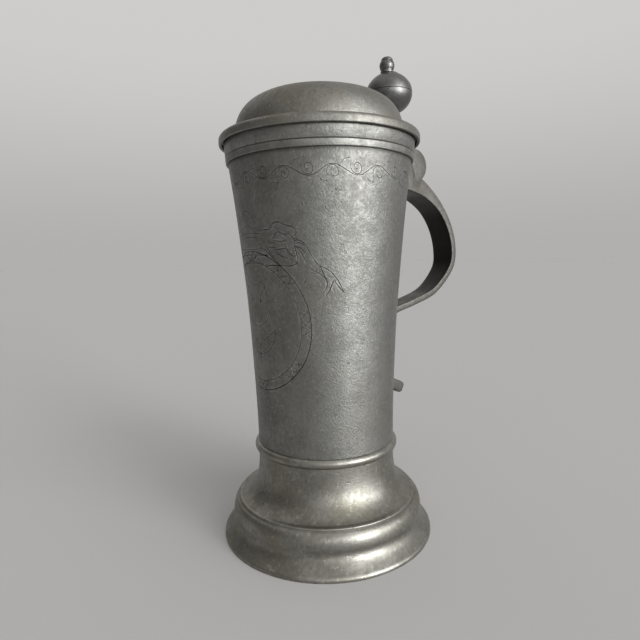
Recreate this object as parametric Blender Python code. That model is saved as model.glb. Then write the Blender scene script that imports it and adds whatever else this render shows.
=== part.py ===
# Lidded pewter stein: a flaring drum on a hollow turned foot, with a strap handle
# and a domed lid that swings on a pin at the top of the handle.
# Sizes are in millimetres; heights are measured from the table, radii from the drum's axis.
import math

import bmesh
import bpy
from mathutils import Matrix, Vector

MM = 0.001

# Fits shared by all pieces
SEGMENTS = 48                # flats round every large turned piece
SMALL_SEGMENTS = 24          # flats round the thumbpiece, the hinge and the pin
CLEARANCE = 0.3              # gap left between two pieces that touch

# Foot
FOOT_RADIUS = 48.0
FOOT_HEIGHT = 41.0           # up to the seam with the drum
FOOT_WALL = 2.4
FOOT_LIP = 2.0               # height of the outer edge of the flared rim
REST_WIDTH = 2.8             # width of the ring that stands on the table
NECK_STEP = 0.0              # how far the foot's neck lies inside the drum's outside
FLOOR_BEARING = 2.3          # width of the neck's ledge under the drum's floor
TORUS_INSET = 4.6            # from the foot's edge
TORUS_Z = 11.2
TORUS_QUIRK = 0.5            # small step below the arris
TORUS_TUCK = 0.7             # how far the rim draws in below the torus
TUCK_DROP = 3.4              # and over what height
ARRIS_INSET = 3.0            # sharp line between cove and torus, from the torus
ARRIS_Z = 17.6
COVE_NECK = 0.60             # share of the cove's height that keeps the neck's radius
COVE_RUN = 0.72              # the cove's slope at the arris, as shares of its width
COVE_RISE = 0.13             # and of its height
RIM_SLOPE = (2.7, 2.5)       # the flared rim's run and rise where it meets its edge

# Band over the seam between foot and drum
BAND_HEIGHT = 4.3
BAND_DROP = 0.35             # the band's middle, below the seam
BAND_THICKNESS = 1.4

# Drum
DRUM_HEIGHT = 132.2          # from the seam to the rim
DRUM_FOOT_RADIUS = 31.0
DRUM_TOP_RADIUS = 39.7       # just below the collar
DRUM_WALL = 2.0
DRUM_BOW = 0.88              # 0 is a straight cone, 1 a parabola
COLLAR_HEIGHT = 8.8
COLLAR_STEP = 0.9            # how far the collar stands out from the drum
COLLAR_FLARE = 0.6           # how far the rim leans out over the collar's height
COLLAR_CHAMFER = 0.4
RIM_CHAMFER = 0.5
FLOOR_THICKNESS = 2.0

# Lid
FLANGE_THICKNESS = 2.5
LIP_CLEARANCE = 0.8          # between the rim and the flange's hanging lip
LIP_DROP = 1.4               # how far the lip hangs below the flange's seat
LIP_WIDTH = 1.3
LIP_CHAMFER = 0.4
FLANGE_ROUND = 1.8           # rounding of the flange's upper edge
DOME_INSET = 4.7             # dome's base, inwards from the rim
DOME_HEIGHT = 17.2
DOME_SHOULDER = 0.42         # exponent of the dome's rounded shoulder
LID_WALL = 2.0
BEZEL_DEPTH = 3.4            # ring under the lid that centres it in the mouth
BEZEL_CLEARANCE = 1.3

# Hinge
LOBE_RADIUS = 7.8            # round cheeks at the top of the handle
LOBE_GAP = 0.9               # between the flange's edge and the cheeks
HINGE_DROP = 4.9             # pin below the rim
HINGE_WIDTH = 13.6
KNUCKLE_WIDTH = 4.6
KNUCKLE_STEP = 0.9           # how much smaller the lid's knuckle is than the cheeks
PIN_RADIUS = 1.5

# Lug, post and thumbpiece
LUG_WIDTH = 12.0
LUG_THICKNESS = 3.0
LUG_INSET = 0.5              # between the dome's base and the lug's end
LUG_REACH = 2.7              # how far the tongue runs past the flange's edge
LUG_ROUND = 2.0              # rounding of the tongue's corners
NECK_GAP = 0.7               # between the flange's edge and the lug's neck
NECK_SINK = 0.3              # the neck lies this far inside the tongue
POST_OFFSET = 10.7           # post's axis, inwards from the hinge pin
POST_HEIGHT = 12.4
POST_FOOT_RADIUS = 4.0
POST_WAIST_RADIUS = 2.5
POST_TOP_RADIUS = 3.7
POST_WAIST = 0.55            # share of the post's height
POST_COLLAR = 1.4            # straight top of the post, under the ball
BALL_RADIUS = 10.9
BALL_HALF_HEIGHT = 9.5
BALL_WALL = 2.4
FINIAL_RADIUS = 3.6
FINIAL_HEIGHT = 6.7
FINIAL_NECK = 0.72           # neck and tip, as a share of the bead's radius
FINIAL_OFFSET = 1.2          # from the ball's axis towards the lid's middle

# Handle
STRAP_THICKNESS = 3.7
STRAP_WIDTH = 13.4
TAIL_WIDTH = 8.4
TAIL_THICKNESS = 3.0
STRAP_CHAMFER = 0.8
HEAD_THICKNESS = 10.5        # the strap is deepest where it meets the collar
HEAD_DROP = 5.8              # middle of the head, below the pin
HEAD_BURY = 1.6              # how far the head reaches in before the drum's room is cut
FINGER_ROOM = 43.65          # between the drum and the strap at the grip
GRIP_DROP = 41.0             # widest point of the handle, below the pin
LOWER_DROP = 74.3            # where the strap meets the drum, below the pin
CURL_THICKNESS = 5.8         # the tail swells towards its end
TAIL_RISE = 25.0             # where the tail leaves the drum, above the seam
CURL_REACH = 12.0            # how far the tail's curl stands off the drum


# Places that follow from the sizes above
SEAM_Z = FOOT_HEIGHT
RIM_Z = SEAM_Z + DRUM_HEIGHT
COLLAR_Z = RIM_Z - COLLAR_HEIGHT
TORUS_RADIUS = FOOT_RADIUS - TORUS_INSET
ARRIS_RADIUS = TORUS_RADIUS - ARRIS_INSET
NECK_RADIUS = DRUM_FOOT_RADIUS - NECK_STEP
FLOOR_RADIUS = DRUM_FOOT_RADIUS - DRUM_WALL - CLEARANCE
COLLAR_RADIUS = DRUM_TOP_RADIUS + COLLAR_STEP
RIM_RADIUS = COLLAR_RADIUS + COLLAR_FLARE
MOUTH_RADIUS = RIM_RADIUS - DRUM_WALL


def drum_radius(z):
    share = (z - SEAM_Z) / (COLLAR_Z - SEAM_Z)
    flare = (1.0 - DRUM_BOW) * share + DRUM_BOW * share * share
    return DRUM_FOOT_RADIUS + (DRUM_TOP_RADIUS - DRUM_FOOT_RADIUS) * flare


SEAT_Z = RIM_Z + CLEARANCE
FLANGE_TOP = SEAT_Z + FLANGE_THICKNESS
FLANGE_RADIUS = RIM_RADIUS + LIP_CLEARANCE + LIP_WIDTH
DOME_RADIUS = RIM_RADIUS - DOME_INSET
KNUCKLE_RADIUS = LOBE_RADIUS - KNUCKLE_STEP
HINGE_R = FLANGE_RADIUS + LOBE_GAP + LOBE_RADIUS
HINGE_Z = RIM_Z - HINGE_DROP
LUG_Z = FLANGE_TOP + CLEARANCE
POST_R = HINGE_R - POST_OFFSET
POST_TOP = LUG_Z + LUG_THICKNESS + POST_HEIGHT
BALL_Z = POST_TOP + CLEARANCE + BALL_HALF_HEIGHT
GRIP_Z = HINGE_Z - GRIP_DROP
GRIP_R = drum_radius(GRIP_Z) + FINGER_ROOM + STRAP_THICKNESS / 2
LOWER_Z = HINGE_Z - LOWER_DROP
CURL_Z = SEAM_Z + TAIL_RISE
# The part's origin lies under the middle of its bounding box
AXIS_X = (FOOT_RADIUS - (GRIP_R + STRAP_THICKNESS / 2)) / 2


def arc(centre, radii, start, end, steps):
    points = []
    for step in range(steps + 1):
        angle = math.radians(start + (end - start) * step / steps)
        r = centre[0] + radii[0] * math.cos(angle)
        z = centre[1] + radii[1] * math.sin(angle)
        points.append((r, z))
    return points


def bezier(start, pull_start, pull_end, end, steps):
    points = []
    for step in range(steps + 1):
        t = step / steps
        weights = ((1 - t) ** 3, 3 * t * (1 - t) ** 2, 3 * t * t * (1 - t), t ** 3)
        corners = (start, pull_start, pull_end, end)
        r = sum(weight * corner[0] for weight, corner in zip(weights, corners))
        z = sum(weight * corner[1] for weight, corner in zip(weights, corners))
        points.append((r, z))
    return points


def new_material(name, colour, roughness):
    material = bpy.data.materials.new(name)
    material.use_nodes = True
    shader = material.node_tree.nodes["Principled BSDF"]
    shader.inputs["Base Color"].default_value = (*colour, 1.0)
    shader.inputs["Roughness"].default_value = roughness
    shader.inputs["Metallic"].default_value = 1.0
    return material


def new_empty(name, place):
    empty = bpy.data.objects.new(name, None)
    empty.location = Vector(place) * MM
    bpy.context.collection.objects.link(empty)
    return empty


def new_object(name, shape, material, parent, place=(0.0, 0.0, 0.0)):
    bmesh.ops.recalc_face_normals(shape, faces=shape.faces)
    mesh = bpy.data.meshes.new(name)
    shape.to_mesh(mesh)
    shape.free()
    mesh.shade_smooth()
    mesh.set_sharp_from_angle(angle=math.radians(30))
    piece = bpy.data.objects.new(name, mesh)
    bpy.context.collection.objects.link(piece)
    piece.parent = parent
    piece.location = Vector(place) * MM
    if material:
        mesh.materials.append(material)
    return piece


def turned_shape(outline, segments):
    # spin an outline of (radius, height) points; one that ends on the axis stays open there
    shape = bmesh.new()
    corners = [shape.verts.new((r * MM, 0.0, z * MM)) for r, z in outline]
    pairs = list(zip(corners, corners[1:]))
    if outline[0][0] > 0.0 or outline[-1][0] > 0.0:
        pairs.append((corners[-1], corners[0]))
    edges = [shape.edges.new(pair) for pair in pairs]
    bmesh.ops.spin(shape, geom=corners + edges, cent=(0, 0, 0), axis=(0, 0, 1),
                   angle=2 * math.pi, steps=segments, use_merge=True)
    bmesh.ops.remove_doubles(shape, verts=shape.verts, dist=1e-6)
    return shape


def cross_rod(radius, width, centre, segments):
    # a rod across the handle, along Y
    shape = bmesh.new()
    place = Matrix.Translation(Vector((centre[0], 0.0, centre[1])) * MM)
    turn = Matrix.Rotation(math.radians(90), 4, "X")
    bmesh.ops.create_cone(shape, cap_ends=True, segments=segments, radius1=radius * MM,
                          radius2=radius * MM, depth=width * MM, matrix=place @ turn)
    return shape


def side_plate(outline, width):
    # an outline seen from the side, drawn out along Y
    shape = bmesh.new()
    corners = [shape.verts.new((r * MM, -width / 2 * MM, z * MM)) for r, z in outline]
    face = shape.faces.new(corners)
    grown = bmesh.ops.extrude_face_region(shape, geom=[face])
    moved = [item for item in grown["geom"] if isinstance(item, bmesh.types.BMVert)]
    bmesh.ops.translate(shape, verts=moved, vec=(0.0, width * MM, 0.0))
    return shape


def combine(piece, other, operation):
    other.hide_render = True
    other.display_type = "WIRE"
    modifier = piece.modifiers.new(other.name, "BOOLEAN")
    modifier.operation = operation
    modifier.object = other


def foot_outline():
    neck_bottom = SEAM_Z - BAND_HEIGHT
    drop = (neck_bottom - ARRIS_Z) * COVE_NECK
    run = (ARRIS_RADIUS - NECK_RADIUS) * COVE_RUN
    rise = (neck_bottom - ARRIS_Z) * COVE_RISE
    cove = bezier((NECK_RADIUS, neck_bottom), (NECK_RADIUS, neck_bottom - drop),
                  (ARRIS_RADIUS - run, ARRIS_Z + rise), (ARRIS_RADIUS, ARRIS_Z), 7)
    swell = (TORUS_RADIUS - ARRIS_RADIUS, ARRIS_Z - TORUS_Z - TORUS_QUIRK)
    torus = arc((ARRIS_RADIUS, TORUS_Z), swell, 78, -8, 7)
    rim_top = (FOOT_RADIUS - RIM_CHAMFER, FOOT_LIP)
    tuck = (torus[-1][0] - TORUS_TUCK, torus[-1][1] - TUCK_DROP)
    flare = bezier(torus[-1], tuck, (rim_top[0] - RIM_SLOPE[0], rim_top[1] + RIM_SLOPE[1]), rim_top, 5)
    rest_r = FOOT_RADIUS - REST_WIDTH
    edge = [(FOOT_RADIUS, FOOT_LIP - RIM_CHAMFER), (FOOT_RADIUS, 0.0), (rest_r, 0.0)]
    under_torus = (TORUS_RADIUS - FOOT_WALL, TORUS_Z)
    under_arris = (ARRIS_RADIUS - FOOT_WALL, ARRIS_Z - FOOT_WALL)
    inside = bezier((rest_r - FOOT_WALL / 2, FOOT_LIP), (under_torus[0], FOOT_LIP + RIM_SLOPE[1]),
                    under_torus, under_arris, 4)
    inner_neck = NECK_RADIUS - FOOT_WALL
    ledge_bottom = neck_bottom - FOOT_WALL
    hollow = bezier(under_arris, (under_arris[0] - run, under_arris[1] + rise),
                    (inner_neck, ledge_bottom - drop), (inner_neck, ledge_bottom), 4)
    ledge_r = FLOOR_RADIUS - FLOOR_BEARING
    top = SEAM_Z - CLEARANCE / 2
    ledge = [(ledge_r, neck_bottom), (ledge_r, top), (NECK_RADIUS, top)]
    return cove + torus + flare[1:] + edge + inside + hollow[1:] + ledge


def drum_side(offset, steps):
    # the drum's outer line, bottom to top, moved out by an offset
    heights = [SEAM_Z + (COLLAR_Z - SEAM_Z) * step / steps for step in range(steps + 1)]
    return [(drum_radius(z) + offset, z) for z in heights]


def drum_outline():
    bottom = SEAM_Z + CLEARANCE / 2
    outside = drum_side(0.0, 8)
    outside[0] = (outside[0][0], bottom)
    collar = [(COLLAR_RADIUS, COLLAR_Z + COLLAR_CHAMFER), (RIM_RADIUS, RIM_Z - RIM_CHAMFER),
              (RIM_RADIUS - RIM_CHAMFER, RIM_Z)]
    mouth = [(MOUTH_RADIUS + RIM_CHAMFER, RIM_Z), (MOUTH_RADIUS, RIM_Z - RIM_CHAMFER),
             (COLLAR_RADIUS - DRUM_WALL, COLLAR_Z)]
    inside = drum_side(-DRUM_WALL, 8)[-2::-1]
    inside[-1] = (inside[-1][0], bottom)
    return outside + collar + mouth + inside


def drum_clearance_outline():
    # the space that the handle leaves free round the drum and its collar
    above = RIM_Z + LOBE_RADIUS
    side = drum_side(CLEARANCE, 8)
    below_collar = COLLAR_Z - CLEARANCE
    side[-1] = (side[-1][0], below_collar)
    collar = [(COLLAR_RADIUS + CLEARANCE, below_collar), (RIM_RADIUS + CLEARANCE, RIM_Z)]
    return [(0.0, SEAM_Z)] + side + collar + [(RIM_RADIUS + CLEARANCE, above), (0.0, above)]


def band_outline():
    inner = max(DRUM_FOOT_RADIUS, NECK_RADIUS) + CLEARANCE
    return arc((inner, SEAM_Z - BAND_DROP), (BAND_THICKNESS, BAND_HEIGHT / 2), 90, -90, 6)


def floor_outline():
    bottom = SEAM_Z + CLEARANCE / 2
    top = bottom + FLOOR_THICKNESS
    rim = [(FLOOR_RADIUS - RIM_CHAMFER, top), (FLOOR_RADIUS, top - RIM_CHAMFER), (FLOOR_RADIUS, bottom)]
    return [(0.0, top)] + rim + [(0.0, bottom)]


def dome_line(radius, base, height, steps):
    points = []
    for step in range(steps + 1):
        angle = math.pi / 2 * (1.0 - step / steps)
        spread = max(math.cos(angle), 0.0) ** DOME_SHOULDER
        points.append((radius * spread, base + height * math.sin(angle)))
    points[0] = (0.0, base + height)
    return points


def lid_outline():
    lip_bottom = SEAT_Z - LIP_DROP
    dome = dome_line(DOME_RADIUS, FLANGE_TOP, DOME_HEIGHT, 10)
    round_centre = (FLANGE_RADIUS - FLANGE_ROUND, FLANGE_TOP - FLANGE_ROUND)
    edge = arc(round_centre, (FLANGE_ROUND, FLANGE_ROUND), 90, 0, 4)
    lip = [(FLANGE_RADIUS, lip_bottom + LIP_CHAMFER), (FLANGE_RADIUS - LIP_CHAMFER, lip_bottom),
           (FLANGE_RADIUS - LIP_WIDTH, lip_bottom), (FLANGE_RADIUS - LIP_WIDTH, SEAT_Z)]
    bezel_r = MOUTH_RADIUS - BEZEL_CLEARANCE
    bezel = [(bezel_r, SEAT_Z), (bezel_r, SEAT_Z - BEZEL_DEPTH), (bezel_r - LID_WALL, SEAT_Z - BEZEL_DEPTH)]
    inside_r = min(DOME_RADIUS, bezel_r) - LID_WALL
    inside = dome_line(inside_r, FLANGE_TOP, DOME_HEIGHT - LID_WALL, 8)[::-1]
    return dome + edge + lip + bezel + inside


def post_outline():
    foot = LUG_Z + LUG_THICKNESS - NECK_SINK
    waist = LUG_Z + LUG_THICKNESS + POST_HEIGHT * POST_WAIST
    neck = POST_TOP - POST_COLLAR
    flare = bezier((POST_TOP_RADIUS, neck), (POST_WAIST_RADIUS, neck - POST_COLLAR),
                   (POST_WAIST_RADIUS, waist + POST_COLLAR), (POST_WAIST_RADIUS, waist), 4)
    spread = bezier((POST_WAIST_RADIUS, waist), (POST_WAIST_RADIUS, (waist + foot) / 2),
                    (POST_FOOT_RADIUS, (waist + foot) / 2), (POST_FOOT_RADIUS, foot), 4)
    return [(0.0, POST_TOP), (POST_TOP_RADIUS, POST_TOP)] + flare + spread[1:] + [(0.0, foot)]


def ball_half_outline(side):
    # side is 1 for the upper half and -1 for the lower half; both are open at the seam
    seam = BALL_Z + side * CLEARANCE / 2
    pole = BALL_HALF_HEIGHT - CLEARANCE / 2
    outside = arc((0.0, seam), (BALL_RADIUS, pole), 90, 0, 8)
    inside = arc((0.0, seam), (BALL_RADIUS - BALL_WALL, pole - BALL_WALL), 0, 90, 6)
    outside[0] = (0.0, seam + pole)
    inside[-1] = (0.0, seam + pole - BALL_WALL)
    return [(r, seam + side * (z - seam)) for r, z in outside + inside]


def finial_outline():
    base = BALL_Z + BALL_HALF_HEIGHT + CLEARANCE
    top = base + FINIAL_HEIGHT
    neck = FINIAL_RADIUS * FINIAL_NECK
    bead = arc((neck, base + 0.42 * FINIAL_HEIGHT), (FINIAL_RADIUS - neck, 0.3 * FINIAL_HEIGHT), 80, -80, 5)
    tip = 0.26 * FINIAL_HEIGHT
    knob = arc((0.0, top - tip), (neck, tip), 90, 0, 3)
    knob[0] = (0.0, top)
    return knob + bead + [(neck, base), (0.0, base)]


def lug_side_outline():
    # knuckle round the pin and the neck that reaches up into the tongue on the flange
    knuckle = arc((HINGE_R, HINGE_Z), (KNUCKLE_RADIUS, KNUCKLE_RADIUS), 70, -180, 14)
    top = LUG_Z + LUG_THICKNESS - NECK_SINK
    bottom = LUG_Z + NECK_SINK
    neck_r = FLANGE_RADIUS + NECK_GAP
    above = [(POST_R, top), (FLANGE_RADIUS + LUG_REACH + NECK_GAP, top)]
    return above + knuckle + [(neck_r, bottom), (POST_R, bottom)]


def lug_tongue():
    shape = bmesh.new()
    inner = DOME_RADIUS + LUG_INSET
    outer = FLANGE_RADIUS + LUG_REACH
    size = Vector((outer - inner, LUG_WIDTH, LUG_THICKNESS)) * MM
    centre = Vector(((inner + outer) / 2, 0.0, LUG_Z + LUG_THICKNESS / 2)) * MM
    place = Matrix.Translation(centre) @ Matrix.Diagonal((*size, 1.0))
    bmesh.ops.create_cube(shape, size=1.0, matrix=place)
    upright = [edge for edge in shape.edges
               if abs(edge.verts[0].co.z - edge.verts[1].co.z) > LUG_THICKNESS * MM / 2]
    bmesh.ops.bevel(shape, geom=upright, offset=LUG_ROUND * MM, segments=3, profile=0.5, affect="EDGES")
    return shape


def handle_stations():
    # middle line of the strap from the drum at the hinge, round the grip, to the curled tail:
    # radius, height, thickness and width at each station
    head = [(COLLAR_RADIUS - HEAD_BURY, HINGE_Z - HEAD_DROP, HEAD_THICKNESS, HINGE_WIDTH),
            (HINGE_R - HEAD_BURY, HINGE_Z - LOBE_RADIUS, 0.9 * HEAD_THICKNESS, HINGE_WIDTH)]
    upper_bow = ((0.30, 0.295, 6.8), (0.645, 0.48, 4.6), (0.89, 0.724, 4.0), (1.0, 1.0, STRAP_THICKNESS))
    upper = [(HINGE_R + across * (GRIP_R - HINGE_R), HINGE_Z - down * GRIP_DROP, thickness, STRAP_WIDTH)
             for across, down, thickness in upper_bow]
    landing_r = drum_radius(LOWER_Z) + CLEARANCE + TAIL_THICKNESS
    lower_bow = ((0.041, 0.294), (0.292, 0.622), (0.622, 0.779), (0.898, 0.877), (1.0, 1.0))
    lower = []
    for across, down in lower_bow:
        width = STRAP_WIDTH + (TAIL_WIDTH + 2.0 - STRAP_WIDTH) * down
        lower.append((GRIP_R + across * (landing_r - GRIP_R), GRIP_Z + down * (LOWER_Z - GRIP_Z),
                      STRAP_THICKNESS - 0.3 * down, width))
    tail = []
    for share in (0.4, 0.75):
        z = LOWER_Z + share * (CURL_Z - LOWER_Z)
        tail.append((drum_radius(z) + CLEARANCE + TAIL_THICKNESS / 2, z, TAIL_THICKNESS, TAIL_WIDTH + 1.0))
    curl_r = drum_radius(CURL_Z) + CLEARANCE
    curl_bow = ((0.22, 0.6, 0.6), (0.48, 3.3, 0.8), (0.76, 5.5, 0.95), (1.0, 7.0, 1.0), (1.1, 7.6, 0.95),
                (1.15, 7.9, 0.75))
    curl = [(curl_r + across * CURL_REACH, CURL_Z - down, swell * CURL_THICKNESS, TAIL_WIDTH)
            for across, down, swell in curl_bow]
    return head + upper + lower + tail + curl


def smooth_line(stations, steps):
    # a Catmull-Rom curve through the stations
    points = []
    last = len(stations) - 1
    for index in range(last):
        four = [Vector(stations[min(max(index + shift, 0), last)]) for shift in (-1, 0, 1, 2)]
        before, start, end, after = four
        for step in range(steps):
            t = step / steps
            points.append(0.5 * (2 * start + (end - before) * t
                                 + (2 * before - 5 * start + 4 * end - after) * t * t
                                 + (3 * start - before - 3 * end + after) * t ** 3))
    points.append(Vector(stations[-1]))
    return points


def strap_ring(shape, here, along):
    # chamfered section of the strap, square to its middle line
    half_thick = here[2] / 2
    half_wide = here[3] / 2
    cut = STRAP_CHAMFER
    corners = ((half_wide, half_thick - cut), (half_wide - cut, half_thick),
               (cut - half_wide, half_thick), (-half_wide, half_thick - cut),
               (-half_wide, cut - half_thick), (cut - half_wide, -half_thick),
               (half_wide - cut, -half_thick), (half_wide, cut - half_thick))
    ring = []
    for wide, thick in corners:
        r = here[0] - along.y * thick
        z = here[1] + along.x * thick
        ring.append(shape.verts.new(Vector((r, wide, z)) * MM))
    return [shape.edges.new(pair) for pair in zip(ring, ring[1:] + ring[:1])]


def strap_shape():
    line = smooth_line(handle_stations(), 3)
    shape = bmesh.new()
    loops = []
    for index, here in enumerate(line):
        ahead = line[min(index + 1, len(line) - 1)]
        behind = line[max(index - 1, 0)]
        along = Vector((ahead[0] - behind[0], ahead[1] - behind[1])).normalized()
        loops.append(strap_ring(shape, here, along))
    for first, second in zip(loops, loops[1:]):
        bmesh.ops.bridge_loops(shape, edges=first + second)
    bmesh.ops.edgeloop_fill(shape, edges=loops[0])
    bmesh.ops.edgeloop_fill(shape, edges=loops[-1])
    return shape


def add_turned(name, outline, colour, roughness, parent, place=(0.0, 0.0, 0.0), segments=SEGMENTS):
    material = new_material(name, colour, roughness)
    return new_object(name, turned_shape(outline, segments), material, parent, place)


def add_handle(stein, colour):
    # the strap, its round hinge cheeks, the slot for the lid's knuckle, the pin's hole and the drum's room
    centre = (HINGE_R, HINGE_Z)
    cheek_rod = cross_rod(LOBE_RADIUS, HINGE_WIDTH, centre, SMALL_SEGMENTS)
    slot_rod = cross_rod(LOBE_RADIUS + CLEARANCE, KNUCKLE_WIDTH + 2 * CLEARANCE, centre, SMALL_SEGMENTS)
    hole_rod = cross_rod(PIN_RADIUS + CLEARANCE, 2 * HINGE_WIDTH, centre, SMALL_SEGMENTS)
    handle = new_object("handle", strap_shape(), new_material("handle", colour, 0.4), stein)
    combine(handle, new_object("cheeks_guide", cheek_rod, None, stein), "UNION")
    combine(handle, new_object("slot_cutter", slot_rod, None, stein), "DIFFERENCE")
    combine(handle, new_object("pin_hole_cutter", hole_rod, None, stein), "DIFFERENCE")
    room = turned_shape(drum_clearance_outline(), SEGMENTS)
    combine(handle, new_object("drum_room_cutter", room, None, stein), "DIFFERENCE")


def add_lug(hinge, on_lid, over_post, colour):
    # the knuckle and neck, with the tongue, the post and the pin's hole
    hole_rod = cross_rod(PIN_RADIUS + CLEARANCE, 2 * HINGE_WIDTH, (0.0, 0.0), SMALL_SEGMENTS)
    post = turned_shape(post_outline(), SMALL_SEGMENTS)
    plate = side_plate(lug_side_outline(), KNUCKLE_WIDTH)
    lug = new_object("lid_lug", plate, new_material("lid_lug", colour, 0.4), hinge, on_lid)
    combine(lug, new_object("tongue_guide", lug_tongue(), None, hinge, on_lid), "UNION")
    combine(lug, new_object("post_guide", post, None, hinge, over_post), "UNION")
    combine(lug, new_object("lug_hole_cutter", hole_rod, None, hinge), "DIFFERENCE")


def build():
    for leftover in list(bpy.data.objects):
        bpy.data.objects.remove(leftover)

    pewter = (0.30, 0.30, 0.28)
    dark_pewter = (0.16, 0.16, 0.16)
    iron = (0.24, 0.23, 0.22)
    stein = new_empty("stein", (AXIS_X, 0.0, 0.0))
    hinge = new_empty("lid_hinge", (HINGE_R, 0.0, HINGE_Z))
    hinge.parent = stein
    on_lid = (-HINGE_R, 0.0, -HINGE_Z)
    over_post = (-POST_OFFSET, 0.0, -HINGE_Z)

    # Fixed body
    add_turned("foot", foot_outline(), pewter, 0.35, stein)
    add_turned("drum", drum_outline(), pewter, 0.45, stein)
    add_turned("waist_band", band_outline(), pewter, 0.35, stein)
    add_turned("floor_disc", floor_outline(), pewter, 0.6, stein)
    add_handle(stein, pewter)
    pin = cross_rod(PIN_RADIUS, HINGE_WIDTH, (HINGE_R, HINGE_Z), SMALL_SEGMENTS)
    new_object("hinge_pin", pin, new_material("hinge_pin", iron, 0.45), stein)

    # Swinging body
    add_turned("lid", lid_outline(), pewter, 0.4, hinge, on_lid)
    add_lug(hinge, on_lid, over_post, pewter)
    for name, outline in (("thumb_ball_lower", ball_half_outline(-1)),
                          ("thumb_ball_upper", ball_half_outline(1))):
        add_turned(name, outline, dark_pewter, 0.4, hinge, over_post, SMALL_SEGMENTS)
    over_ball = (over_post[0] - FINIAL_OFFSET, 0.0, over_post[2])
    add_turned("thumb_finial", finial_outline(), dark_pewter, 0.4, hinge, over_ball, SMALL_SEGMENTS)


build()
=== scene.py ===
# Looks of a lidded pewter stein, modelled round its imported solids.
# Sizes in the dictionaries are millimetres: radii from the drum's axis, heights from the table.
import math
import random

import bmesh
import bpy
from mathutils import Matrix, Vector, noise


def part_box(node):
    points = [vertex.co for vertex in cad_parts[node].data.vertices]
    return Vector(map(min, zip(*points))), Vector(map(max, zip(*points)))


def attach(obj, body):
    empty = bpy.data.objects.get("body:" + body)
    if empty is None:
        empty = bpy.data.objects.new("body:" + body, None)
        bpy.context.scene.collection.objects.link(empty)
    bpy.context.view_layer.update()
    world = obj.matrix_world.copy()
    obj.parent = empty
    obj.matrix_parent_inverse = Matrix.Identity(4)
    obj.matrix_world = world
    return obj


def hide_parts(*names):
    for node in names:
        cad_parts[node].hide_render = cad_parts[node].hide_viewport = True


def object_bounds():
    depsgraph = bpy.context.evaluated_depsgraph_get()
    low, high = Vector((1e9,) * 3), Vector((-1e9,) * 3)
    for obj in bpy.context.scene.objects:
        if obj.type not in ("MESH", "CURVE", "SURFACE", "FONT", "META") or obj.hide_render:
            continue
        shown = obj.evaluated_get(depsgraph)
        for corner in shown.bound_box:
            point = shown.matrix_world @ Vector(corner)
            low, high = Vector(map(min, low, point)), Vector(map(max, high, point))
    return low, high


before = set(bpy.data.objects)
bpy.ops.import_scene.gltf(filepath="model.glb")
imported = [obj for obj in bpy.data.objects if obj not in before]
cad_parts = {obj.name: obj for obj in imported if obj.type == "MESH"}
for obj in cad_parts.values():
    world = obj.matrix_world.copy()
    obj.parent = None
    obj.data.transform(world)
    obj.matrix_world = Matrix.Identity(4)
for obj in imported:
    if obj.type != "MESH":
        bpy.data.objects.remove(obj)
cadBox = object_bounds()
mm = 0.001
solderGap = 0.3                             # between two solids that touch on the real stein
noise.seed_set(5)


def nodeBox(node):
    low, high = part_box(node)
    return low / mm, high / mm


# Places read from the frame
drumLow, drumHigh = nodeBox("drum")
footHigh = nodeBox("foot")[1]
bandLow, bandHigh = nodeBox("waist_band")
floorLow, floorHigh = nodeBox("floor_disc")
lidLow, lidHigh = nodeBox("lid")
pinLow, pinHigh = nodeBox("hinge_pin")
lugLow, lugHigh = nodeBox("lid_lug")
ballLow, ballHigh = nodeBox("thumb_ball_lower")
capLow, capHigh = nodeBox("thumb_ball_upper")
finialLow, finialHigh = nodeBox("thumb_finial")
handleHigh = nodeBox("handle")[1]

axisX = (drumLow.x + drumHigh.x) / 2       # the drum's axis
rimRadius = drumHigh.y
rimZ = drumHigh.z
seamZ = drumLow.z - solderGap / 2           # where drum and foot meet
pinR = (pinLow.x + pinHigh.x) / 2 - axisX
pinZ = (pinLow.z + pinHigh.z) / 2
pinRadius = (pinHigh.z - pinLow.z) / 2
hingeWidth = pinHigh.y - pinLow.y
postR = (ballLow.x + ballHigh.x) / 2 - axisX
finialR = (finialLow.x + finialHigh.x) / 2 - axisX
print("frame read: rim %.1f mm across, axis at x %.2f" % (2 * rimRadius, axisX))


# Lines and outlines
def arcLine(centre, radii, start, end, steps):
    line = []
    for step in range(steps + 1):
        angle = math.radians(start + (end - start) * step / steps)
        line.append((centre[0] + radii[0] * math.cos(angle), centre[1] + radii[1] * math.sin(angle)))
    return line


def pulledLine(start, pullStart, pullEnd, end, steps):
    line = []
    for step in range(steps + 1):
        t = step / steps
        weights = ((1 - t) ** 3, 3 * t * (1 - t) ** 2, 3 * t * t * (1 - t), t ** 3)
        corners = (start, pullStart, pullEnd, end)
        line.append(tuple(sum(w * c[i] for w, c in zip(weights, corners)) for i in (0, 1)))
    return line


def softCorner(before, corner, after, reach, steps=4):
    # a small round in place of a sharp corner
    corner = Vector(corner)
    start = corner + (Vector(before) - corner).normalized() * reach
    end = corner + (Vector(after) - corner).normalized() * reach
    line = []
    for step in range(steps + 1):
        t = step / steps
        line.append(tuple(start * (1 - t) ** 2 + corner * 2 * t * (1 - t) + end * t * t))
    return line


def softLine(points, reach, steps=4):
    # every corner but the two ends is rounded
    line = [points[0]]
    for before, corner, after in zip(points, points[1:], points[2:]):
        line += softCorner(before, corner, after, reach, steps)
    return line + [points[-1]]


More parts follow.
